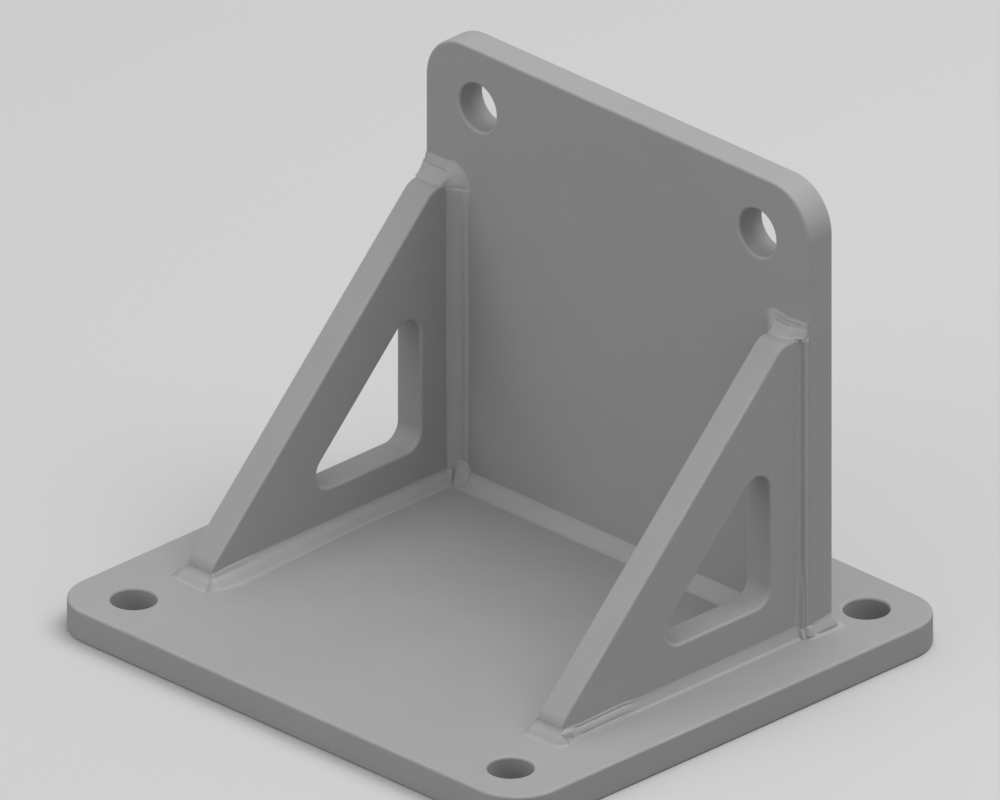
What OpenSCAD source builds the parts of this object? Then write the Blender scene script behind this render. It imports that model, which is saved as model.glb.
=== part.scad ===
// Welded angle bracket: a base plate and an upright plate, braced by two gussets with windows.
// The plates are cut from flat steel bar and every seam between them carries a fillet weld.
// Origin at the centre of the base plate's underside: X across, Y from the open front to the back, Z up.

/* [Base plate] */
// Width of the base plate, side to side
base_w = 155; // [145:0.5:190]
// Depth of the base plate, front to back
base_d = 144; // [140:0.5:190]
// Thickness of the base plate
base_t = 8; // [5:0.5:14]
// Radius of the base plate's four corners, seen from above
base_corner_r = 12; // [4:0.5:20]
// Diameter of the four bolt holes in the base plate
base_hole_d = 11; // [6:0.5:13]
// From the base plate's side edge to the middle of a bolt hole
base_hole_side = 15.5; // [12:0.5:20]
// From the base plate's front or back edge to the middle of a bolt hole
base_hole_end = 13.5; // [10:0.5:15]

/* [Upright plate] */
// From the base plate's side edge in to the upright's side edge
upright_side_step = 14.5; // [11:0.5:22]
// Height of the upright plate above the base plate
upright_h = 114; // [100:0.5:160]
// Thickness of the upright plate
upright_t = 8; // [5:0.5:12]
// Radius of the upright plate's two top corners
upright_corner_r = 12; // [4:0.5:20]
// From the base plate's back edge to the upright's back face
upright_setback = 25.5; // [24.5:0.5:32]
// Diameter of the two bolt holes in the upright
upright_hole_d = 12; // [6:0.5:14]
// From the upright's side edge to the middle of a bolt hole
upright_hole_side = 17; // [11:0.5:40]
// From the upright's top edge to the middle of a bolt hole
upright_hole_top = 15; // [11:0.5:22]

/* [Gussets] */
// Thickness of each gusset
gusset_t = 8; // [5:0.5:12]
// Step from the upright's side edge in to the gusset's outer face
gusset_inset = 1.5; // [1:0.1:12]
// From the base plate's front edge to the gusset's front end
gusset_front_step = 30.5; // [25:0.5:40]
// Height of the gusset above the base plate
gusset_rise = 77.5; // [70:0.5:95]
// Height of the blunt front end, up to where the slope's line meets it
gusset_nose = 4.5; // [3:0.1:9]
// Length of the flat on top, up to where the slope's line meets it
gusset_land = 7; // [5:0.1:12]
// Radius of the two bends, from the front end to the slope and from the slope to the flat
gusset_bend_r = 5; // [2:0.1:6]

/* [Gusset windows] */
// Metal left between the window and the upright
window_rear = 11; // [8:0.1:16]
// Metal left between the window and the base plate
window_foot = 12; // [8:0.1:18]
// Metal left between the window and the slope, measured level
window_slope = 21; // [16:0.1:26]
// Radius of the window's corners
window_r = 4.5; // [2:0.1:6]

/* [Edges] */
// Rounding along the outer edges of the base plate and the upright
edge_r = 0.7; // [0.3:0.05:0.9]
// Chamfer round the bolt holes
rim = 0.4; // [0.2:0.05:0.6]

/* [Weld beads] */
// Leg of the beads inside the bracket and round the gussets' front ends, at the base plate
base_leg = 3; // [2:0.1:4]
// Leg of the beads outside the bracket, at the base plate
outer_leg = 2.4; // [1.5:0.1:3.5]
// Leg of the beads that join the upright and the gussets
upright_leg = 3.3; // [2:0.1:4]
// Leg of the beads over the tops of the gussets
top_leg = 4.2; // [2.5:0.1:5]
// Rise of a bead's face above a flat face
crown = 0.3; // [0.1:0.05:0.5]
// Height of the step at the toe of a bead
toe = 0.15; // [0.1:0.05:0.3]
// How far a corner tie-in reaches past the beads that cross in it
tie_margin = 0.35; // [0.2:0.05:1]

/* [Hidden] */
$fn = 64;

plate_colour = [0.56, 0.57, 0.57];
weld_colour = [0.50, 0.51, 0.52];
// Overrun of a cutting tool past the face that it cuts
past = 1;

base_top = base_t;
upright_back = base_d / 2 - upright_setback;
upright_front = upright_back - upright_t;
upright_side = base_w / 2 - upright_side_step;
upright_top = base_top + upright_h;

gusset_outer = upright_side - gusset_inset;
gusset_inner = gusset_outer - gusset_t;
gusset_top = base_top + gusset_rise;
nose_y = gusset_front_step - base_d / 2;
gusset_foot = upright_front - nose_y;
// Corners of the gusset before they are rounded, as [Y, Z], and the rise of its slope
nose = [nose_y, base_top + gusset_nose];
land = [upright_front - gusset_land, gusset_top];
rise = (land.y - nose.y) / (land.x - nose.x);

// Corners of the window before they are rounded
window_back = upright_front - window_rear;
window_base = base_top + window_foot;
window_toe = [nose.x + window_slope + (window_base - nose.y) / rise, window_base];
window_head = [window_back, nose.y + rise * (window_back - window_slope - nose.x)];
// How far the arc of a rounded corner stands proud of the two sides that it joins
hair = 0.001;

// The bead outside a gusset can be no wider than the ledge of the upright that it lies on
ledge_leg = min(upright_leg, gusset_inset);
// The bead over a gusset can be no longer than the flat that it lies on
land_leg = min(top_leg, gusset_land - gusset_bend_r * tan(atan(rise) / 2));
tie_r = norm([base_leg, upright_leg]) + tie_margin;

function unit(v) = v / norm(v);

// A turn of an outline is [centre, radius, first angle, last angle], counter-clockwise.
// The angles are those of the outward normals of the straight sides before and after it.
function rectangle_turns(w, d, r) = [
    [[w / 2 - r, d / 2 - r], r, 0, 90],
    [[r - w / 2, d / 2 - r], r, 90, 180],
    [[r - w / 2, r - d / 2], r, 180, 270],
    [[w / 2 - r, r - d / 2], r, 270, 360]
];

upright_turns = [
    [[upright_side - upright_corner_r, upright_top - upright_corner_r], upright_corner_r, 0, 90],
    [[upright_corner_r - upright_side, upright_top - upright_corner_r], upright_corner_r, 90, 180]
];

// Lengths laid out before and after turn i. The two that share a side overlap in its middle.
// An open outline starts lead before its first turn and ends tail after its last one.
function lengths(turns, i, lead, tail) =
    let (
        count = len(turns),
        side = function (j, k) 0.6 * norm(turns[k % count][0] - turns[j % count][0])
    )
    [
        lead > 0 && i == 0 ? lead : side(i + count - 1, i),
        tail > 0 && i == count - 1 ? tail : side(i, i + 1)
    ];

// Slab inside an outline of sides and turns. Its section is drawn outward from the turns' centres,
// so all the turns have one radius. An open outline is closed through the points in back.
module slab(h, turns, lead = 0, tail = 0, back = []) {
    linear_extrude(h) polygon([for (turn = turns) turn[0], each back]);
    for (i = [0:len(turns) - 1]) {
        turn = turns[i];
        length = lengths(turns, i, lead, tail);
        translate(turn[0]) {
            rotate([0, 0, turn[2]]) {
                rotate_extrude(angle = turn[3] - turn[2]) children();
                rotate([90, 0, 0]) linear_extrude(length[0]) children();
            }
            rotate([0, 0, turn[3]])
                translate([0, length[1], 0])
                    rotate([90, 0, 0]) linear_extrude(length[1]) children();
        }
    }
}

// Section of a plate of thickness t from a turn's centre to its rounded edge
module edge_section(r, t) {
    square([r - edge_r, t]);
    translate([0, edge_r]) square([r, t - 2 * edge_r]);
    for (y = [edge_r, t - edge_r])
        translate([r - edge_r, y]) circle(r = edge_r);
}

// Plate of thickness t with rounded edges along its outline
module plate(t, turns, lead = 0, tail = 0, back = [])
    slab(t, turns, lead, tail, back) edge_section(turns[0][1], t);

// Cutter for a drilled hole through a plate of thickness t, chamfered at both faces
module drill(d, t) {
    translate([0, 0, -past]) cylinder(d = d, h = t + 2 * past);
    for (side = [0, 1])
        translate([0, 0, side * t])
            mirror([0, 0, side])
                translate([0, 0, -past])
                    cylinder(r1 = d / 2 + rim + past, r2 = d / 2, h = rim + past);
}

// Area with the given corners, of which the picked ones are rounded to radius r
module rounded(corners, picked, r)
    difference() {
        polygon(corners);
        for (i = picked) {
            count = len(corners);
            corner = corners[i];
            before = unit(corners[(i + count - 1) % count] - corner);
            after = unit(corners[(i + 1) % count] - corner);
            half = acos(before * after) / 2;
            middle = corner + unit(before + after) * r / sin(half);
            difference() {
                polygon([
                    middle,
                    2 * (corner + before * r / tan(half)) - middle,
                    2 * corner - middle,
                    2 * (corner + after * r / tan(half)) - middle
                ]);
                translate(middle) circle(r = r + hair);
            }
        }
    }

// Section of a fillet bead with its root at the origin and its legs along x and y
module bead_section(leg_x, leg_y) {
    span = [leg_x - toe, leg_y - toe];
    chord = norm(span);
    r = (chord * chord / 4 + crown * crown) / (2 * crown);
    middle = [leg_x + toe, leg_y + toe] / 2;
    intersection() {
        square([leg_x, leg_y]);
        translate(middle - (r - crown) * [span.y, span.x] / chord) circle(r = r, $fn = 180);
    }
}

// Places a bead in a corner: its legs lie along leg_x and leg_y, and it runs along their cross product
module seam(at, leg_x, leg_y) {
    run = cross(leg_x, leg_y);
    multmatrix([
        [leg_x.x, leg_y.x, run.x, at.x],
        [leg_x.y, leg_y.y, run.y, at.y],
        [leg_x.z, leg_y.z, run.z, at.z]
    ]) children();
}

// Quarter turn of a bead round an edge of radius r whose centre line is the local z axis
module bead_turn(leg_x, leg_y, r = 0)
    rotate_extrude(angle = 90) translate([r, 0]) bead_section(leg_x, leg_y);

module base_plate() color(plate_colour)
    difference() {
        plate(base_t, rectangle_turns(base_w, base_d, base_corner_r));
        for (x = [-1, 1], y = [-1, 1])
            translate([x * (base_w / 2 - base_hole_side), y * (base_d / 2 - base_hole_end), 0])
                drill(base_hole_d, base_t);
    }

module upright_plate() color(plate_colour)
    translate([0, upright_back, 0])
        rotate([90, 0, 0])
            difference() {
                side = upright_h - upright_corner_r;
                middle = upright_side - upright_corner_r;
                plate(
                    upright_t, upright_turns, side, side,
                    [[-middle, base_top], [middle, base_top]]
                );
                for (x = [-1, 1])
                    translate([x * (upright_side - upright_hole_side), upright_top - upright_hole_top, 0])
                        drill(upright_hole_d, upright_t);
            }

// The parts on the right are drawn in place, and those on the left are their mirror images
module gusset() color(plate_colour)
    translate([gusset_inner, 0, 0])
        rotate([90, 0, 90])
            linear_extrude(gusset_t)
                difference() {
                    rounded(
                        [
                            nose, [nose_y, base_top], [upright_front, base_top],
                            [upright_front, gusset_top], land
                        ],
                        [0, 4], gusset_bend_r
                    );
                    rounded(
                        [window_toe, [window_back, window_base], window_head],
                        [0, 1, 2], window_r
                    );
                }

// Ball of weld metal where the three beads inside the bracket meet
module tie_ball() translate([gusset_inner, upright_front, base_top]) sphere(r = tie_r);

module weld_corner() color(weld_colour)
    translate([gusset_inner, upright_front, base_top])
        rotate([0, 0, 180])
            rotate_extrude(angle = 90)
                intersection() {
                    circle(r = tie_r);
                    square(tie_r);
                }

module weld_upright_front() color(weld_colour)
    difference() {
        seam([gusset_inner, upright_front, base_top], [0, -1, 0], [0, 0, 1])
            linear_extrude(2 * gusset_inner) bead_section(base_leg, base_leg);
        tie_ball();
        mirror([1, 0, 0]) tie_ball();
    }

module weld_upright_back() color(weld_colour)
    seam([edge_r - upright_side, upright_back, base_top], [0, 1, 0], [0, 0, 1])
        linear_extrude(2 * (upright_side - edge_r)) bead_section(outer_leg, outer_leg);

// Round the end of the upright, from the gusset's outer face to the back
module weld_upright_end() color(weld_colour) {
    seam([upright_side, upright_back - edge_r, base_top], [1, 0, 0], [0, 0, 1])
        linear_extrude(upright_t - 2 * edge_r) bead_section(outer_leg, outer_leg);
    translate([upright_side - edge_r, upright_back - edge_r, base_top])
        bead_turn(outer_leg, outer_leg, edge_r);
    translate([upright_side - edge_r, upright_front + edge_r, base_top])
        rotate([0, 0, -90]) bead_turn(outer_leg, outer_leg, edge_r);
    seam([upright_side - edge_r, upright_front, base_top], [0, -1, 0], [0, 0, 1])
        linear_extrude(gusset_inset - edge_r) bead_section(outer_leg, outer_leg);
}

module weld_base_inner() color(weld_colour)
    difference() {
        seam([gusset_inner, nose_y, base_top], [-1, 0, 0], [0, 0, 1])
            linear_extrude(gusset_foot) bead_section(base_leg, base_leg);
        tie_ball();
    }

module weld_base_outer() color(weld_colour)
    difference() {
        seam([gusset_outer, upright_front, base_top], [1, 0, 0], [0, 0, 1])
            linear_extrude(gusset_foot) bead_section(outer_leg, outer_leg);
        weld_upright_end();
    }

// Round the front end of the gusset
module weld_toe() color(weld_colour) {
    seam([gusset_outer, nose_y, base_top], [0, -1, 0], [0, 0, 1])
        linear_extrude(gusset_t) bead_section(base_leg, base_leg);
    translate([gusset_outer, nose_y, base_top])
        rotate([0, 0, -90]) bead_turn(base_leg, base_leg);
    translate([gusset_inner, nose_y, base_top])
        rotate([0, 0, 180]) bead_turn(base_leg, base_leg);
}

module weld_upright_inner() color(weld_colour)
    difference() {
        seam([gusset_inner, upright_front, base_top], [-1, 0, 0], [0, -1, 0])
            linear_extrude(gusset_rise) bead_section(upright_leg, upright_leg);
        tie_ball();
    }

module weld_upright_outer() color(weld_colour)
    difference() {
        seam([gusset_outer, upright_front, gusset_top], [1, 0, 0], [0, -1, 0])
            linear_extrude(gusset_rise) bead_section(ledge_leg, upright_leg);
        weld_upright_end();
        weld_base_outer();
    }

// Over the top of the gusset, with a turn down each side
module weld_top() color(weld_colour) {
    seam([gusset_outer, upright_front, gusset_top], [0, -1, 0], [0, 0, 1])
        linear_extrude(gusset_t) bead_section(land_leg, top_leg);
    intersection() {
        seam([gusset_outer, upright_front, gusset_top], [1, 0, 0], [0, 0, 1])
            bead_turn(top_leg, land_leg);
        translate([upright_side - 2 * base_w, upright_front - base_w, 0])
            cube([2 * base_w, 2 * base_w, 2 * upright_top]);
    }
    seam([gusset_inner, upright_front, gusset_top], [0, 0, 1], [-1, 0, 0])
        bead_turn(top_leg, land_leg);
}

module left() mirror([1, 0, 0]) children();

base_plate();
upright_plate();
left() gusset();  // gusset_left
gusset();  // gusset_right
weld_upright_front();
weld_upright_back();
left() weld_upright_end();  // weld_upright_end_left
weld_upright_end();  // weld_upright_end_right
left() weld_base_inner();  // weld_left_base_inner
left() weld_base_outer();  // weld_left_base_outer
left() weld_toe();  // weld_left_toe
left() weld_upright_inner();  // weld_left_upright_inner
left() weld_upright_outer();  // weld_left_upright_outer
left() weld_top();  // weld_left_top
left() weld_corner();  // weld_left_corner
weld_base_inner();  // weld_right_base_inner
weld_base_outer();  // weld_right_base_outer
weld_toe();  // weld_right_toe
weld_upright_inner();  // weld_right_upright_inner
weld_upright_outer();  // weld_right_upright_outer
weld_top();  // weld_right_top
weld_corner();  // weld_right_corner
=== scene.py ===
import math

import bmesh
import bpy
from mathutils import Matrix, Vector, noise


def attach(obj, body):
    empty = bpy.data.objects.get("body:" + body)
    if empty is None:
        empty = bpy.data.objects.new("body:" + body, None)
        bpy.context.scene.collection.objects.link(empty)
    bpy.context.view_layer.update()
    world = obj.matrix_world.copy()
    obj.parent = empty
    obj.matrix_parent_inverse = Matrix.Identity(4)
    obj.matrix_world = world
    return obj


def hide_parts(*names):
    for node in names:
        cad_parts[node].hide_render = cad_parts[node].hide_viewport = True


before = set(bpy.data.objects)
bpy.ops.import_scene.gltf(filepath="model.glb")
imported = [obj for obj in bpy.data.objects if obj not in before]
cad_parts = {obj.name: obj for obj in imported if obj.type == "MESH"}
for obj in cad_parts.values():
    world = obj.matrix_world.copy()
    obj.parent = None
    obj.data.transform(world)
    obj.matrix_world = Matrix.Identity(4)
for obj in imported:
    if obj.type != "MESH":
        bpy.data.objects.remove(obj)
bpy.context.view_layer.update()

# Welded angle bracket of flat steel plate in matte grey paint.
# Lengths in the dictionaries are in millimetres, and the meshes are in metres.
scene = bpy.context.scene
toMetres = Matrix.Scale(0.001, 4)

print("paint")
# Tones and roughnesses run from 0 to 1, scales count repeats per metre, heights are in metres
paint = {
    # The first tone and roughness are for rims and crests: rubbed, thin paint with a painted
    # highlight
    "rubbedHighlightTone": 0.45, "rubbedRoughness": 0.45, "dustTone": 0.29, "specular": 0.35,
    "cloudScale": 14, "mottleScale": 95, "mottleShare": 0.4,
    "poreScale": 310, "poreDust": 0.55, "poreDepth": 0.5,
    "rubbedHighlightScale": 60, "rubbedHighlightLeast": 0.25,
    "sheenScale": 170, "sheenSwing": 0.07,
    "waveScale": 210, "waveShare": 0.45, "peelHeight": 0.00003,
}
# Each finish sets how strongly its rims and crests take the lighter tone of rubbed paint and a
# painted highlight
finishes = {
    "painted_plate": {"tone": 0.36, "roughness": 0.6, "cloudiness": 0.035, "rubbedHighlightStrength": 0.5,
                      "grainScale": 900, "bump": 0.5},
    "painted_weld": {"tone": 0.41, "roughness": 0.54, "cloudiness": 0.05, "rubbedHighlightStrength": 0.3,
                     "grainScale": 700, "bump": 0.8},
}


def addNode(tree, kind, inputs=None, **settings):
    node = tree.nodes.new(kind)
    for key, value in settings.items():
        setattr(node, key, value)
    for key, value in (inputs or {}).items():
        if isinstance(value, bpy.types.NodeSocket):
            tree.links.new(value, node.inputs[key])
        else:
            node.inputs[key].default_value = value
    return node


def compute(tree, operation, first, second):
    return addNode(tree, "ShaderNodeMath", {0: first, 1: second}, operation=operation).outputs[0]


def blendValues(tree, factor, first, second):
    return addNode(tree, "ShaderNodeMix", {0: factor, 2: first, 3: second},
                   data_type="FLOAT").outputs[0]


def mapValues(tree, value, fromLow, fromHigh, toLow, toHigh):
    return addNode(tree, "ShaderNodeMapRange",
                   {0: value, 1: fromLow, 2: fromHigh, 3: toLow, 4: toHigh}).outputs[0]


# Sprayed paint over steel: cloudy tone, dusty pores, lighter crests for thin paint and a painted
# highlight, orange peel
def makePaintGroup():
    group = bpy.data.node_groups.new("sprayedPaint", "ShaderNodeTree")
    for label in ("Tone", "Rubbed Highlight Tone", "Dust Tone", "Cloudiness", "Crest", "Rubbed Highlight", "Grain Scale",
                  "Roughness"):
        group.interface.new_socket(label, in_out="INPUT", socket_type="NodeSocketFloat")
    for label, kind in (("Colour", "NodeSocketColor"), ("Roughness", "NodeSocketFloat"),
                        ("Height", "NodeSocketFloat")):
        group.interface.new_socket(label, in_out="OUTPUT", socket_type=kind)
    given = group.nodes.new("NodeGroupInput").outputs
    output = group.nodes.new("NodeGroupOutput")
    place = addNode(group, "ShaderNodeTexCoord").outputs["Object"]

    def grain(scale, detail, roughness=0.55):
        return addNode(group, "ShaderNodeTexNoise", {
            "Vector": place, "Scale": scale, "Detail": detail, "Roughness": roughness,
        }).outputs["Fac"]

    cloud = blendValues(group, paint["mottleShare"], grain(paint["cloudScale"], 4),
                        grain(paint["mottleScale"], 4))
    shift = compute(group, "MULTIPLY", mapValues(group, cloud, 0.3, 0.7, -1.0, 1.0),
                    given["Cloudiness"])
    tone = compute(group, "MULTIPLY", compute(group, "ADD", shift, 1.0), given["Tone"])

    cells = addNode(group, "ShaderNodeTexVoronoi", {"Vector": place, "Scale": paint["poreScale"]},
                    feature="F1")
    pores = mapValues(group, cells.outputs["Distance"], 0.09, 0.02, 0.0, paint["poreDust"])
    tone = blendValues(group, pores, tone, given["Dust Tone"])

    patchy = mapValues(group, grain(paint["rubbedHighlightScale"], 5, 0.65), 0.42, 0.62,
                       paint["rubbedHighlightLeast"], 1.0)
    # Rims and crests, in patches, take a lighter tone: rubbed paint and a painted highlight
    rubbedHighlightMask = compute(group, "MULTIPLY", given["Crest"], given["Rubbed Highlight"])
    rubbedHighlightMask = compute(group, "MULTIPLY", rubbedHighlightMask, patchy)
    tone = blendValues(group, rubbedHighlightMask, tone, given["Rubbed Highlight Tone"])
    colour = addNode(group, "ShaderNodeCombineColor", {0: tone, 1: tone, 2: tone}).outputs[0]

    sheen = mapValues(group, grain(paint["sheenScale"], 3), 0.3, 0.7,
                      -paint["sheenSwing"], paint["sheenSwing"])
    rough = compute(group, "ADD", sheen, given["Roughness"])
    rough = blendValues(group, rubbedHighlightMask, rough, paint["rubbedRoughness"])

    height = blendValues(group, paint["waveShare"], grain(given["Grain Scale"], 2, 0.5),
                         grain(paint["waveScale"], 2))
    height = compute(group, "SUBTRACT", height,
                     compute(group, "MULTIPLY", pores, paint["poreDepth"]))
    for label, value in (("Colour", colour), ("Roughness", rough), ("Height", height)):
        group.links.new(value, output.inputs[label])
    return group


def paintedSteel(name, group):
    finish = finishes[name]
    material = bpy.data.materials.new(name)
    material.use_nodes = True
    tree = material.node_tree
    shader = tree.nodes["Principled BSDF"]
    # The crest attribute marks where the lighter tone of rubbed paint and a painted highlight goes
    crest = addNode(tree, "ShaderNodeAttribute", attribute_name="crest").outputs["Fac"]
    coat = addNode(tree, "ShaderNodeGroup", {
        "Tone": finish["tone"], "Rubbed Highlight Tone": paint["rubbedHighlightTone"], "Dust Tone": paint["dustTone"],
        "Cloudiness": finish["cloudiness"], "Crest": crest, "Rubbed Highlight": finish["rubbedHighlightStrength"],
        "Grain Scale": finish["grainScale"], "Roughness": finish["roughness"],
    }, node_tree=group).outputs
    bump = addNode(tree, "ShaderNodeBump", {
        "Height": coat["Height"], "Strength": finish["bump"], "Distance": paint["peelHeight"],
    }).outputs["Normal"]
    for label, value in (("Base Color", coat["Colour"]), ("Roughness", coat["Roughness"]),
                         ("Normal", bump)):
        tree.links.new(value, shader.inputs[label])
    shader.inputs["Metallic"].default_value = 0.0
    shader.inputs["Specular IOR Level"].default_value = paint["specular"]
    return material


sprayedPaint = makePaintGroup()
plateMaterial = paintedSteel("painted_plate", sprayedPaint)
weldMaterial = paintedSteel("painted_weld", sprayedPaint)


def finishPiece(name, bm, material, node):
    bmesh.ops.transform(bm, matrix=toMetres, verts=bm.verts)
    bmesh.ops.recalc_face_normals(bm, faces=bm.faces)
    mesh = bpy.data.meshes.new(name)
    bm.to_mesh(mesh)
    bm.free()
    piece = bpy.data.objects.new(name, mesh)
    scene.collection.objects.link(piece)
    mesh.materials.append(material)
    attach(piece, "root")
    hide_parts(node)
    return piece


def onlyVerts(geometry):
    return [part for part in geometry if isinstance(part, bmesh.types.BMVert)]


print("plates")
# Angles in degrees: an edge steeper than the rim's is rounded, and one past the sharp's stays crisp
plates = {"rimAngle": 70, "sharpAngle": 40, "rimSegments": 6, "cornerSteps": 14,
          "holeSegments": 72, "normalWeight": 90}


# Closed outline through the corners, each rounded to its radius
def roundedOutline(corners, radii):
    points = []
    count, steps = len(corners), plates["cornerSteps"]
    for i, (corner, radius) in enumerate(zip(corners, radii)):
        corner = Vector(corner)
        if not radius:
            points.append(corner)
            continue
        before = (Vector(corners[i - 1]) - corner).normalized()
        after = (Vector(corners[(i + 1) % count]) - corner).normalized()
        half = before.angle(after) / 2
        middle = corner + (before + after).normalized() * radius / math.sin(half)
        first = corner + before * radius / math.tan(half) - middle
        last = corner + after * radius / math.tan(half) - middle
        sweep = first.angle_signed(last)
        for k in range(steps + 1):
            turned = first.copy()
            turned.rotate(Matrix.Rotation(-sweep * k / steps, 2))
            points.append(middle + turned)
    return points


def addOutline(bm, outline):
    verts = [bm.verts.new((p.x, p.y, 0)) for p in outline]
    return [bm.edges.new((verts[i - 1], verts[i])) for i in range(len(verts))]


def addCircle(bm, x, y, radius):
    ring = bmesh.ops.create_circle(bm, segments=plates["holeSegments"], radius=radius,
                                   matrix=Matrix.Translation((x, y, 0)))
    return list({edge for vert in ring["verts"] for edge in vert.link_edges})


# Plate raised from its outline and holes, with the rims of both faces rounded
def cutPlate(name, bm, rims, thickness, rimRadius, place, node):
    bmesh.ops.triangle_fill(bm, use_beauty=True, use_dissolve=False, edges=rims)
    bmesh.ops.recalc_face_normals(bm, faces=bm.faces)
    raised = bmesh.ops.extrude_face_region(bm, geom=bm.faces[:])["geom"]
    bmesh.ops.translate(bm, vec=(0, 0, thickness), verts=onlyVerts(raised))
    bmesh.ops.recalc_face_normals(bm, faces=bm.faces)
    sharp = [e for e in bm.edges if e.calc_face_angle(0) > math.radians(plates["rimAngle"])
             and abs(e.verts[0].co.z - e.verts[1].co.z) < 1e-6]
    rounded = bmesh.ops.bevel(bm, geom=sharp, offset=rimRadius, offset_type="OFFSET",
                              segments=plates["rimSegments"], profile=0.5, affect="EDGES",
                              material=-1, clamp_overlap=False)
    crest = bm.verts.layers.float.new("crest")  # 1 on the middle of a rim, where the paint is thin and a highlight is painted
    rounding = set(rounded["faces"])
    for vert in {v for face in rounding for v in face.verts}:
        vert[crest] = float(all(face in rounding for face in vert.link_faces))
    for face in bm.faces:
        face.smooth = True
    for edge in bm.edges:
        edge.smooth = edge.calc_face_angle(0) < math.radians(plates["sharpAngle"])
    bmesh.ops.transform(bm, matrix=place, verts=bm.verts)
    plate = finishPiece(name, bm, plateMaterial, node)
    modifier = plate.modifiers.new("normals", "WEIGHTED_NORMAL")
    modifier.mode = "FACE_AREA"
    modifier.weight = plates["normalWeight"]
    modifier.keep_sharp = True


base = {"width": 155, "depth": 144, "thick": 8, "corner": 12, "rim": 0.7,
        "hole": 11, "holeX": 62, "holeY": 58.5}


def makeBase():
    x, y = base["width"] / 2, base["depth"] / 2
    bm = bmesh.new()
    rims = addOutline(bm, roundedOutline([(x, y), (-x, y), (-x, -y), (x, -y)],
                                         [base["corner"]] * 4))
    for sideX, sideY in ((-1, -1), (-1, 1), (1, -1), (1, 1)):
        rims += addCircle(bm, sideX * base["holeX"], sideY * base["holeY"], base["hole"] / 2)
    cutPlate("base_plate_painted", bm, rims, base["thick"], base["rim"], Matrix(), "base_plate")


upright = {"half": 63, "bottom": 8, "top": 122, "front": 38.5, "thick": 8, "corner": 12,
           "rim": 0.7, "hole": 12, "holeX": 46, "holeZ": 107}


def makeUpright():
    x, bottom, high = upright["half"], upright["bottom"], upright["top"]
    bm = bmesh.new()
    rims = addOutline(bm, roundedOutline([(x, bottom), (x, high), (-x, high), (-x, bottom)],
                                         [0, upright["corner"], upright["corner"], 0]))
    for side in (-1, 1):
        rims += addCircle(bm, side * upright["holeX"], upright["holeZ"], upright["hole"] / 2)
    back = Matrix.Translation((0, upright["front"] + upright["thick"], 0))
    cutPlate("upright_plate_painted", bm, rims, upright["thick"], upright["rim"],
             back @ Matrix.Rotation(math.pi / 2, 4, "X"), "upright_plate")


gusset = {"inner": 53.5, "outer": 61.5, "nose": -41.5, "noseTop": 12.5, "back": 38.5, "foot": 8,
          "top": 85.5, "landFront": 31.5, "noseBend": 5, "landBend": 5, "rim": 0.7,
          "window": [(-13, 20), (27.5, 20), (27.5, 60.5)], "windowCorner": 4.5}


def makeGusset(side, label):
    g = gusset
    bm = bmesh.new()
    rims = addOutline(bm, roundedOutline(
        [(g["nose"], g["foot"]), (g["back"], g["foot"]), (g["back"], g["top"]),
         (g["landFront"], g["top"]), (g["nose"], g["noseTop"])],
        [0, 0, 0, g["landBend"], g["noseBend"]]))
    rims += addOutline(bm, roundedOutline(g["window"], [g["windowCorner"]] * 3))
    # The outline's x runs along Y and its y along Z, and the thickness along X
    turn = Matrix(((0, 0, 1, 0), (1, 0, 0, 0), (0, 1, 0, 0), (0, 0, 0, 1)))
    start = g["inner"] if side > 0 else -g["outer"]
    cutPlate(f"gusset_{label}_painted", bm, rims, g["outer"] - g["inner"], g["rim"],
             Matrix.Translation((start, 0, 0)) @ turn, f"gusset_{label}")


makeBase()
makeUpright()
makeGusset(-1, "left")
makeGusset(1, "right")

print("beads along the gussets")
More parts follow.
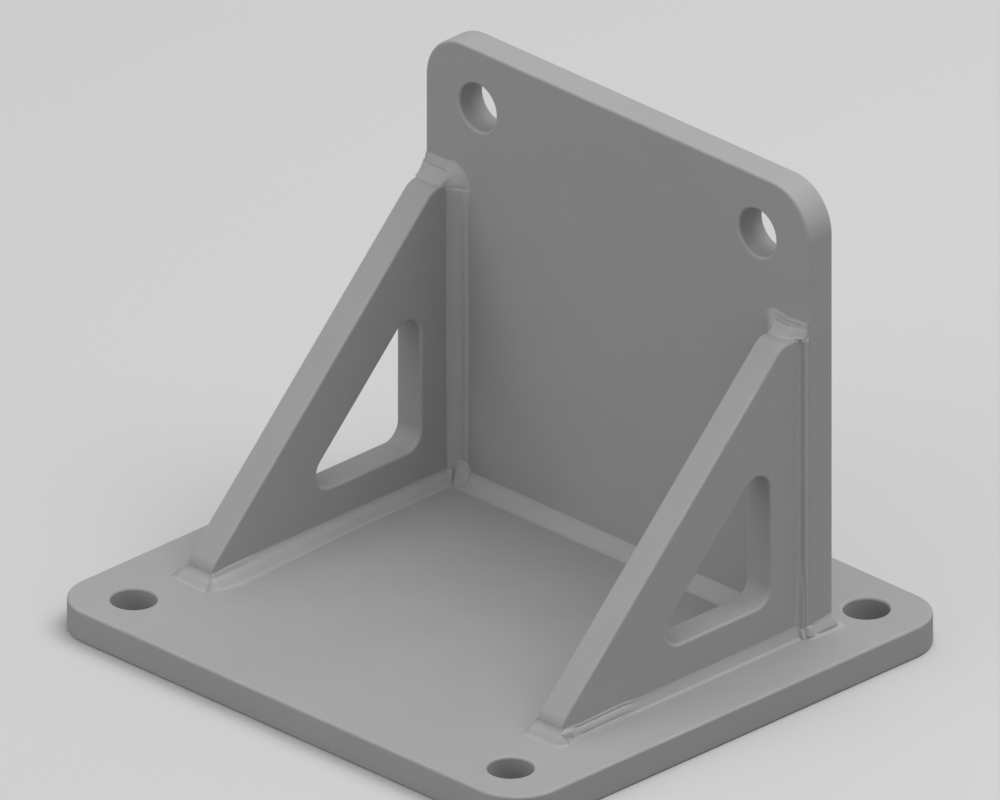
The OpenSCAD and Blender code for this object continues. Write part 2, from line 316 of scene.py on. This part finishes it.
# Sections of the beads from toe to toe, in shares of the legs along the first and second plate
sections = {
    "plain": ((1.2, -0.01), (1.02, 0.04), (0.87, 0.15), (0.73, 0.3), (0.6, 0.45),
              (0.46, 0.59), (0.31, 0.72), (0.17, 0.86), (0.06, 1.02), (-0.01, 1.2)),
    "creased": ((1.2, -0.01), (1.02, 0.04), (0.87, 0.16), (0.73, 0.32), (0.6, 0.47),
                (0.46, 0.61), (0.31, 0.71), (0.2, 0.79), (0.13, 0.97), (-0.01, 1.15)),
    "channelled": ((1.12, -0.01), (1.0, 0.03), (0.88, 0.13), (0.68, 0.22), (0.69, 0.36),
                   (0.58, 0.54), (0.38, 0.7), (0.07, 0.8), (0.16, 0.91), (-0.02, 1.08)),
    "flared": ((1.15, -0.01), (1.0, 0.01), (0.8, 0.05), (0.62, 0.11), (0.5, 0.2),
               (0.4, 0.36), (0.28, 0.54), (0.16, 0.74), (0.05, 0.96), (-0.01, 1.15)),
    "lipped": ((1.15, -0.01), (1.0, 0.09), (0.8, 0.18), (0.5, 0.09), (0.53, 0.24),
               (0.47, 0.42), (0.35, 0.62), (0.2, 0.82), (0.07, 1.0), (-0.01, 1.2)),
    "dipped": ((1.06, -0.01), (0.99, 0.07), (0.88, 0.18), (0.72, 0.2), (0.56, 0.29),
               (0.4, 0.52), (0.3, 0.68), (0.17, 0.84), (0.04, 0.98), (-0.01, 1.06)),
    "ledged": ((1.1, -0.01), (1.06, 0.12), (1.01, 0.26), (0.9, 0.37), (0.7, 0.44),
               (0.42, 0.49), (0.22, 0.56), (0.11, 0.7), (0.04, 0.88), (-0.02, 1.05)),
    "ledgedTwice": ((1.1, -0.01), (1.05, 0.1), (0.98, 0.2), (0.84, 0.24), (0.7, 0.27),
                    (0.72, 0.37), (0.58, 0.46), (0.3, 0.53), (0.1, 0.68), (-0.02, 1.05)),
    "rolled": ((1.12, -0.01), (0.98, 0.05), (0.86, 0.14), (0.72, 0.19), (0.63, 0.29),
               (0.68, 0.43), (0.61, 0.57), (0.4, 0.73), (0.13, 0.97), (-0.015, 1.22)),
    "crested": ((1.2, -0.01), (1.14, 0.07), (1.05, 0.16), (0.86, 0.15), (0.7, 0.22),
                (0.74, 0.37), (0.66, 0.52), (0.45, 0.69), (0.14, 0.96), (-0.015, 1.22)),
}
beads = {
    "step": 0.8,  # between the frames of a straight run
    "turnSteps": 12,  # in a quarter turn
    "spanPoints": 4,  # from one point of a section to the next
    "sink": 0.5,  # of the bead's root into both plates
    "reach": 2,  # from the root to where the length of a run is measured
    "drift": 0.1, "driftScale": 0.2,  # slow change of the legs
    "ripple": 0.05, "rippleScale": 0.55,  # unevenness across the crest
    "fadeRate": 12,  # both are gone at a run's ends and full a twelfth of the way in
}


# Curve through the points of a section, with spanPoints to each span
def smoothLine(points, spanPoints):
    line = []
    last = len(points) - 1
    for i in range(last):
        p0, p1, p2, p3 = (points[max(0, min(last, i + k))] for k in (-1, 0, 1, 2))
        for k in range(spanPoints):
            t = k / spanPoints
            line.append(0.5 * (2 * p1 + (p2 - p0) * t + (2 * p0 - 5 * p1 + 4 * p2 - p3) * t ** 2
                               + (3 * p1 - p0 - 3 * p2 + p3) * t ** 3))
    return line + [points[-1]]


# Value at t between keys (t, value), where a value is a list of vectors
def keyed(keys, t):
    for (t0, first), (t1, second) in zip(keys, keys[1:]):
        if t <= t1:
            share = max(0.0, (t - t0) / (t1 - t0))
            share = share * share * (3 - 2 * share)
            return [a.lerp(b, share) for a, b in zip(first, second)]
    return keys[-1][1]


# Frames of a straight run: the root of the fillet and its directions along the two plates
def run(start, end, a, b):
    start, end = Vector(start), Vector(end)
    count = max(2, round((end - start).length / beads["step"]))
    return [(start.lerp(end, k / count), Vector(a), Vector(b)) for k in range(count + 1)]


# Frames of a quarter turn about a rounded edge, in which the first direction swings over
def swing(middle, radius, fromDir, toDir, b):
    frames = []
    for k in range(beads["turnSteps"] + 1):
        t = math.pi / 2 * k / beads["turnSteps"]
        a = Vector(fromDir) * math.cos(t) + Vector(toDir) * math.sin(t)
        frames.append((Vector(middle) + a * radius, a, Vector(b)))
    return frames


# Frame of a mitre, at which the toe lies p along the first direction and q along the second
def mitre(root, first, p, second, q, leg, b):
    return (Vector(root), (Vector(first) * p + Vector(second) * q) / leg, Vector(b))


# Bead laid along frames with keyed legs and sections, closed inside the plates and at both ends
def layBead(bm, frames, legs, shapes, side):
    crest = bm.verts.layers.float.get("crest") or bm.verts.layers.float.new("crest")
    travel, reach = [0.0], beads["reach"]
    for (first, a1, b1), (second, a2, b2) in zip(frames, frames[1:]):
        gap = second + a2 * reach + b2 * reach - first - a1 * reach - b1 * reach
        travel.append(travel[-1] + gap.length)
    legs = [(t, [Vector(pair)]) for t, pair in legs]
    shapes = [(t, [Vector(p) for p in sections[name]]) for t, name in shapes]
    rings, hidden = [], set()
    for (root, a, b), gone in zip(frames, travel):
        t = gone / travel[-1]
        legA, legB = keyed(legs, t)[0]
        fade = min(1.0, t * beads["fadeRate"], (1 - t) * beads["fadeRate"])
        sway = noise.noise(root * beads["driftScale"]) * beads["drift"] * fade
        line = smoothLine(keyed(shapes, t), beads["spanPoints"])
        ring = []
        for k, p in enumerate(line):
            spot = root + a * p.x * (legA + sway) + b * p.y * (legB - sway)
            across = math.sin(math.pi * k / (len(line) - 1))
            rough = noise.noise(spot * beads["rippleScale"])
            spot += (a + b) * across * beads["ripple"] * fade * rough
            ring.append(bm.verts.new((side * spot.x, spot.y, spot.z)))
            # The bead's crest takes the lighter tone of thin paint and a painted highlight
            ring[-1][crest] = across ** 3
        inside = root - (a + b) * beads["sink"]  # the root, out of sight between the plates
        ring.append(bm.verts.new((side * inside.x, inside.y, inside.z)))
        hidden.add(ring[-1])
        rings.append([bm.edges.new((ring[k - 1], ring[k])) for k in range(len(ring))])
    for first, second in zip(rings, rings[1:]):
        for face in bmesh.ops.bridge_loops(bm, edges=first + second)["faces"]:
            face.smooth = hidden.isdisjoint(face.verts)
    for ring in (rings[0], rings[-1]):
        for face in bmesh.ops.edgeloop_fill(bm, edges=ring)["faces"]:
            face.smooth = False


# Lumps of weld metal: the middle's offset from where plates meet, the corners round the middle,
# and how far the edges are rounded
lumps = {
    "frontKnob": {"offset": (0, 2.0, 2.1), "rounding": 0.2, "corners": (
        (-0.4, -2.4, 0.4), (0.8, -1.8, 0.4), (1.1, 0.2, 0.5), (0.3, 2.3, 0.8), (-0.4, 2.5, 0.9),
        (1.1, -1.7, -1.0), (1.3, 1.3, -1.0), (-0.4, 0, -1.2), (0.5, -0.9, 1.1), (-0.4, -1.0, 1.2))},
    "topKnob": {"offset": (0.75, -0.6, -0.7), "rounding": 0.2, "corners": (
        (-0.8, 0.8, 1.2), (0.6, 0.6, 1.2), (-0.6, -0.9, 0.9), (0.5, -0.6, 1.0), (0.7, 0.6, -1.4),
        (-0.8, 0.4, -1.6), (-0.5, -1.0, 0), (0.3, -0.9, -0.2), (0.7, -0.4, -0.3))},
    "cornerBody": {"offset": (0, 0, 0), "rounding": 0.15, "corners": (
        (0.3, 0.3, -0.3), (0.2, 0.2, 5.6), (-1.2, -0.6, 6.0), (-3.9, -0.3, 6.2),
        (-3.9, 0.3, 6.2), (-5.5, -0.2, 3.8), (-5.6, 0.3, 3.8), (-5.8, -2.4, 1.2),
        (-3.0, -3.5, 0.2), (-2.8, -1.7, 4.2), (-3.1, -3.4, -0.6), (-6.0, -2.4, -0.6),
        (-6.3, 0.3, 0.8), (-0.3, -1.7, -0.4))},
    "cornerDrop": {"offset": (-0.9, -2.1, 2.6), "rounding": 0.2, "corners": (
        (-0.7, -0.5, -0.9), (0.8, -1.0, -0.6), (0.6, -0.5, 0.9), (-0.3, 0.2, 0.9), (0.9, 0.8, 0.4),
        (0.9, 0.5, -0.9), (-0.6, 0.8, -0.8), (-1.0, -0.8, -2.4), (0.8, -1.2, -2.0))},
    "endBody": {"offset": (-0.2, -0.1, 1.9), "rounding": 0.2, "corners": (
        (-0.9, 0.7, 1.0), (0.7, 1.1, 1.0), (-0.5, -0.9, 0.8), (0.8, -0.4, 0.7), (1.2, 0.8, -0.3),
        (0.9, -0.9, -0.4), (-0.9, -1.3, -1.0), (1.1, -1.3, -1.3), (-0.9, 0.5, -1.6),
        (1.9, 0.7, -1.5))},
    "endDrop": {"offset": (0.5, -1.3, 1.4), "rounding": 0.2, "corners": (
        (-0.6, 0.2, 1.4), (0.3, 0.1, 1.3), (-0.6, -0.7, 0.7), (0.5, -0.6, 0.5), (1.3, 0.4, -0.1),
        (-0.6, -1.3, -1.6), (1.8, -0.9, -1.6), (-0.6, 0.8, -1.5), (1.9, 0.8, -1.5))},
}
# A lump's rounded edges take part of the lighter tone of thin paint and a painted highlight
lumpFinish = {"flatAngle": 6, "segments": 3, "crest": 0.6, "merge": 0.01}  # angle in degrees


# Lump of weld metal with flat facets: the hull of its corners, with the edges rounded
def addLump(bm, name, meeting, side):
    middle = [place + shift for place, shift in zip(meeting, lumps[name]["offset"])]
    lump = bmesh.new()
    crest = lump.verts.layers.float.new("crest")
    for x, y, z in lumps[name]["corners"]:
        lump.verts.new((side * (middle[0] + x), middle[1] + y, middle[2] + z))
    hull = bmesh.ops.convex_hull(lump, input=lump.verts)
    bmesh.ops.delete(lump, geom=onlyVerts(hull["geom_interior"]), context="VERTS")
    bmesh.ops.dissolve_limit(lump, angle_limit=math.radians(lumpFinish["flatAngle"]),
                             verts=lump.verts, edges=lump.edges)
    softened = bmesh.ops.bevel(lump, geom=lump.edges[:], offset=lumps[name]["rounding"],
                               offset_type="OFFSET", segments=lumpFinish["segments"], profile=0.5,
                               affect="EDGES", material=-1, clamp_overlap=True)
    for face in softened["faces"]:
        face.smooth = True
        for vert in face.verts:
            # Part of the lighter tone of thin paint and a painted highlight
            vert[crest] = lumpFinish["crest"]
    bmesh.ops.remove_doubles(lump, verts=lump.verts, dist=lumpFinish["merge"])
    bmesh.ops.dissolve_degenerate(lump, edges=lump.edges, dist=lumpFinish["merge"])
    mesh = bpy.data.meshes.new("lump")
    lump.to_mesh(mesh)
    lump.free()
    bm.from_mesh(mesh)
    bpy.data.meshes.remove(mesh)


def finishBead(part, bm):
    finishPiece(f"bead_{part}", bm, weldMaterial, f"weld_{part}")


inX, outX, noseY, backY = gusset["inner"], gusset["outer"], gusset["nose"], gusset["back"]
foot, top, rimR = gusset["foot"], gusset["top"], gusset["rim"]
inward, outward, forward, backward, up = (-1, 0, 0), (1, 0, 0), (0, -1, 0), (0, 1, 0), (0, 0, 1)

ends = {
    "mitreRoom": 0.8,  # from a mitre to the next frame
    "tuck": 0.15,  # from the inner upright bead's end to the turn of the top bead
    "edgeRoom": 0.1,  # kept from the upright's outer edge and from the outer upright bead
    "riseLean": 0.2,  # share of its rise by which the top bead's outer end stands in
    "levelRoom": 0.6,  # from the gusset's outer face to where that end has come down
    "feather": 1.4,  # of the top bead's inner end down the gusset
}

# Legs and sections of each side's beads from their first end to their last, in shares of their
# run. A corner is how far the toe reaches there, to the side of the gusset and in front of it.
sideBeads = {
    "left": {
        "side": -1, "roundedOuter": False, "outerCorner": (3.0, 2.2), "innerCorner": (1.1, 2.7),
        "topRise": 0.2,
        "baseOuter": {
            "legs": [(0, (1.6, 2.5)), (0.5, (1.8, 2.6)), (0.94, (1.9, 2.5)), (1, (2.6, 2.5))],
            "shapes": [(0, "plain"), (1, "plain")]},
        "toe": {
            "legs": [(0, (2.6, 2.5)), (1, (2.7, 2.8))],
            "shapes": [(0, "plain"), (1, "plain")]},
        "baseInner": {
            "legs": [(0, (2.7, 2.8)), (0.03, (2.8, 2.9)), (0.1, (3.8, 3.2)), (0.3, (3.1, 3.1)),
                     (0.58, (2.2, 3.1)), (1, (2.0, 3.1))],
            "shapes": [(0, "plain"), (0.05, "creased"), (0.13, "creased"), (0.22, "plain"),
                       (1, "plain")]},
        "uprightInner": {
            "legs": [(0, (4.3, 2.3)), (0.5, (4.5, 2.6)), (0.93, (4.3, 2.6)), (1, (4.3, 2.5))],
            "shapes": [(0, "dipped"), (0.94, "dipped"), (1, "plain")]},
        "uprightOuter": {
            "legs": [(0, (1.3, 2.4)), (1, (1.3, 2.4))],
            "shapes": [(0, "plain"), (1, "plain")]},
        "top": {
            "legs": [(0, (3.6, 1.6)), (0.07, (3.9, 3.6)), (0.14, (4.1, 4.3)), (0.5, (4.1, 4.3)),
                     (0.63, (4.5, 3.6)), (0.78, (4.45, 2.65)), (0.92, (4.35, 2.55)),
                     (1, (3.6, 1.9))],
            "shapes": [(0, "rolled"), (0.52, "rolled"), (0.63, "plain"), (1, "plain")]},
    },
    "right": {
        "side": 1, "roundedOuter": True, "outerCorner": (2.8, 1.5), "innerCorner": (2.2, 2.6),
        "topRise": 0.25,
        "baseOuter": {
            "legs": [(0, (1.5, 3.5)), (0.07, (1.45, 2.8)), (0.68, (1.45, 2.65)),
                     (0.76, (1.35, 3.25)), (0.94, (1.35, 3.0)), (1, (1.9, 2.9))],
            "shapes": [(0, "flared"), (0.68, "flared"), (0.76, "channelled"),
                       (0.93, "channelled"), (0.97, "plain"), (1, "plain")]},
        "toe": {
            "legs": [(0, (1.9, 2.9)), (0.25, (2.3, 2.9)), (0.5, (2.2, 3.0)), (1, (2.6, 3.1))],
            "shapes": [(0, "plain"), (1, "plain")]},
        "baseInner": {
            "legs": [(0, (2.6, 3.1)), (0.5, (2.6, 3.1)), (1, (2.3, 3.0))],
            "shapes": [(0, "plain"), (1, "plain")]},
        "uprightInner": {
            "legs": [(0, (3.8, 2.6)), (0.95, (3.5, 2.6)), (1, (3.4, 2.5))],
            "shapes": [(0, "dipped"), (0.4, "plain"), (1, "plain")]},
        "uprightOuter": {
            "legs": [(0, (1.4, 3.2)), (0.12, (1.4, 3.0)), (0.25, (1.4, 2.4)), (1, (1.4, 2.4))],
            "shapes": [(0, "ledgedTwice"), (0.12, "ledgedTwice"), (0.25, "ledged"),
                       (1, "ledged")]},
        "top": {
            "legs": [(0, (2.6, 0.9)), (0.09, (3.0, 1.7)), (0.27, (3.1, 3.8)), (0.4, (2.8, 4.2)),
                     (0.58, (3.1, 3.9)), (0.78, (4.5, 3.0)), (0.92, (3.45, 2.55)),
                     (1, (2.8, 1.9))],
            "shapes": [(0, "plain"), (0.09, "crested"), (0.63, "crested"), (0.76, "plain"),
                       (1, "plain")]},
    },
}
nodeParts = {"baseOuter": "base_outer", "toe": "toe", "baseInner": "base_inner",
             "uprightInner": "upright_inner", "uprightOuter": "upright_outer", "top": "top"}


# Frames of each bead of one gusset, drawn for the right side and mirrored by layBead
def gussetTracks(kit):
    (outP, outQ), (inP, inQ) = kit["outerCorner"], kit["innerCorner"]
    toeLegs = kit["toe"]["legs"]
    outerMitre = mitre((outX, noseY, foot), outward, outP, forward, outQ, toeLegs[0][1][0], up)
    innerMitre = mitre((inX, noseY, foot), inward, inP, forward, inQ, toeLegs[-1][1][0], up)
    outerEnd, outerTurn = [outerMitre], [outerMitre]
    if kit["roundedOuter"]:
        outerEnd = [(Vector((outX, noseY + rimR, foot)), Vector(outward), Vector(up))]
        outerTurn = swing((outX - rimR, noseY + rimR, foot), rimR, outward, forward, up)
    rise, room = kit["topRise"], ends["mitreRoom"]
    raised = (upright["half"] - ends["riseLean"] * rise - ends["edgeRoom"], backY, top + rise)
    level = (outX - ends["levelRoom"], backY, top)
    turned = (inX, backY, top - rimR)
    return {
        "baseOuter": run((outX, backY, foot), (outX, noseY + room, foot), outward, up)[:-1]
        + outerEnd,
        "toe": outerTurn + run((outX - room, noseY, foot), (inX, noseY, foot), forward, up)[:-1]
        + [innerMitre],
        "baseInner": [innerMitre] + run((inX, noseY, foot), (inX, backY, foot), inward, up)[1:],
        "uprightInner": run((inX, backY, foot), (inX, backY, top - rimR - ends["tuck"]),
                            inward, forward),
        "uprightOuter": run((outX, backY, foot), (outX, backY, top), outward, forward),
        "top": run(raised, level, up, forward)
        + run(level, (inX + rimR, backY, top), up, forward)[1:]
        + swing((inX + rimR, backY, top - rimR), rimR, up, inward, forward)[1:]
        + run(turned, (inX, backY, top - rimR - ends["feather"]), inward, forward)[1:],
    }


for label, kit in sideBeads.items():
    side = kit["side"]
    tracks = gussetTracks(kit)
    for key, part in nodeParts.items():
        bm = bmesh.new()
        layBead(bm, tracks[key], kit[key]["legs"], kit[key]["shapes"], side)
        if key == "baseOuter":
            addLump(bm, "frontKnob", (outX, noseY, foot), side)
        if key == "uprightOuter":
            addLump(bm, "topKnob", (outX, backY, top), side)
        finishBead(f"{label}_{part}", bm)
    bm = bmesh.new()  # where the three beads inside the bracket run together
    addLump(bm, "cornerBody", (inX, backY, foot), side)
    addLump(bm, "cornerDrop", (inX, backY, foot), side)
    finishBead(f"{label}_corner", bm)

print("beads round the upright")
uprightBeads = {
    "end": {"legs": [(0, (1.5, 2.1)), (0.3, (1.8, 2.3)), (0.45, (2.1, 2.7)), (0.75, (2.4, 3.2)),
                     (1, (2.6, 2.6))],
            "shapes": [(0, "plain"), (0.3, "plain"), (0.45, "lipped"), (0.8, "lipped"),
                       (1, "plain")]},
    "front": {"legs": [(0, (3.0, 3.1)), (0.5, (2.9, 3.0)), (1, (3.1, 3.1))],
              "shapes": [(0, "plain"), (1, "plain")]},
    "back": {"legs": [(0, (2.6, 2.6)), (0.4, (2.3, 2.6)), (0.7, (2.6, 2.4)), (1, (2.6, 2.6))],
             "shapes": [(0, "plain"), (0.3, "dipped"), (0.6, "plain"), (1, "plain")]},
}
endX, farY = upright["half"], backY + upright["thick"]
uprightTracks = {
    "end": run((outX + ends["edgeRoom"], backY, foot), (endX - rimR, backY, foot), forward, up)
    + swing((endX - rimR, backY + rimR, foot), rimR, forward, outward, up)[1:]
    + run((endX, backY + rimR, foot), (endX, farY - rimR, foot), outward, up)[1:]
    + swing((endX - rimR, farY - rimR, foot), rimR, outward, backward, up)[1:],
    "front": run((inX, backY, foot), (-inX, backY, foot), forward, up),
    "back": run((rimR - endX, farY, foot), (endX - rimR, farY, foot), backward, up),
}


def layUprightBead(key, side=1):
    bm = bmesh.new()
    layBead(bm, uprightTracks[key], uprightBeads[key]["legs"], uprightBeads[key]["shapes"], side)
    return bm


for label, kit in sideBeads.items():
    bm = layUprightBead("end", kit["side"])
    addLump(bm, "endBody", (endX, backY, foot), kit["side"])
    addLump(bm, "endDrop", (outX, backY, foot), kit["side"])
    finishBead(f"upright_end_{label}", bm)
finishBead("upright_front", layUprightBead("front"))
finishBead("upright_back", layUprightBead("back"))

print("stage")
# Places and sizes in metres, and powers in watts
stage = {"floorSeen": (0.62, 0.62, 0.62), "floorBounce": (0.3, 0.3, 0.3), "floorSize": 4,
         "floorRoughness": 0.9, "world": 0.52, "aim": (0, 0, 0.04),
         "key": {"place": (0.24, 0.3, 1.15), "size": 1.0, "power": 8.8},
         "fill": {"place": (-0.5, -1.4, 0.6), "size": 1.2, "power": 4.5}}


def makeFloor():
    bm = bmesh.new()
    bmesh.ops.create_grid(bm, x_segments=1, y_segments=1, size=stage["floorSize"])
    mesh = bpy.data.meshes.new("floor")
    bm.to_mesh(mesh)
    bm.free()
    floor = bpy.data.objects.new("floor", mesh)
    scene.collection.objects.link(floor)
    material = bpy.data.materials.new("floor_pale")
    material.use_nodes = True
    tree = material.node_tree
    shader = tree.nodes["Principled BSDF"]
    # The camera sees a pale floor, and the bracket gets the light of a darker one
    seen = addNode(tree, "ShaderNodeLightPath").outputs["Is Camera Ray"]
    tone = addNode(tree, "ShaderNodeMix", {
        0: seen, 6: (*stage["floorBounce"], 1), 7: (*stage["floorSeen"], 1),
    }, data_type="RGBA").outputs[2]
    tree.links.new(tone, shader.inputs["Base Color"])
    shader.inputs["Roughness"].default_value = stage["floorRoughness"]
    mesh.materials.append(material)


def makeWorld():
    world = bpy.data.worlds.new("studio")
    scene.world = world
    world.use_nodes = True
    background = world.node_tree.nodes["Background"]
    background.inputs["Color"].default_value = (1, 1, 1, 1)
    background.inputs["Strength"].default_value = stage["world"]


def addLamp(name):
    place = Vector(stage[name]["place"])
    lamp = bpy.data.lights.new(name, "AREA")
    lamp.shape = "SQUARE"
    lamp.size = stage[name]["size"]
    lamp.energy = stage[name]["power"]
    holder = bpy.data.objects.new(name, lamp)
    holder.location = place
    holder.rotation_euler = (Vector(stage["aim"]) - place).to_track_quat("-Z", "Y").to_euler()
    scene.collection.objects.link(holder)


# Parallel view from the front right, a rise of one in two above the floor
view = {"target": (0, 0, 0.0609), "width": 0.2326, "azimuth": 45, "rise": 0.5, "distance": 1.2}


def makeCamera():
    camera = bpy.data.cameras.new("camera")
    camera.type = "ORTHO"
    camera.ortho_scale = view["width"]
    azimuth, elevation = math.radians(view["azimuth"]), math.atan(view["rise"])
    look = Vector((-math.sin(azimuth) * math.cos(elevation),
                   math.cos(azimuth) * math.cos(elevation), -math.sin(elevation)))
    eye = bpy.data.objects.new("camera", camera)
    eye.location = Vector(view["target"]) - look * view["distance"]
    eye.rotation_euler = look.to_track_quat("-Z", "Y").to_euler()
    scene.collection.objects.link(eye)
    scene.camera = eye


makeFloor()
makeWorld()
addLamp("key")
addLamp("fill")
makeCamera()
scene.view_settings.view_transform = "Standard"
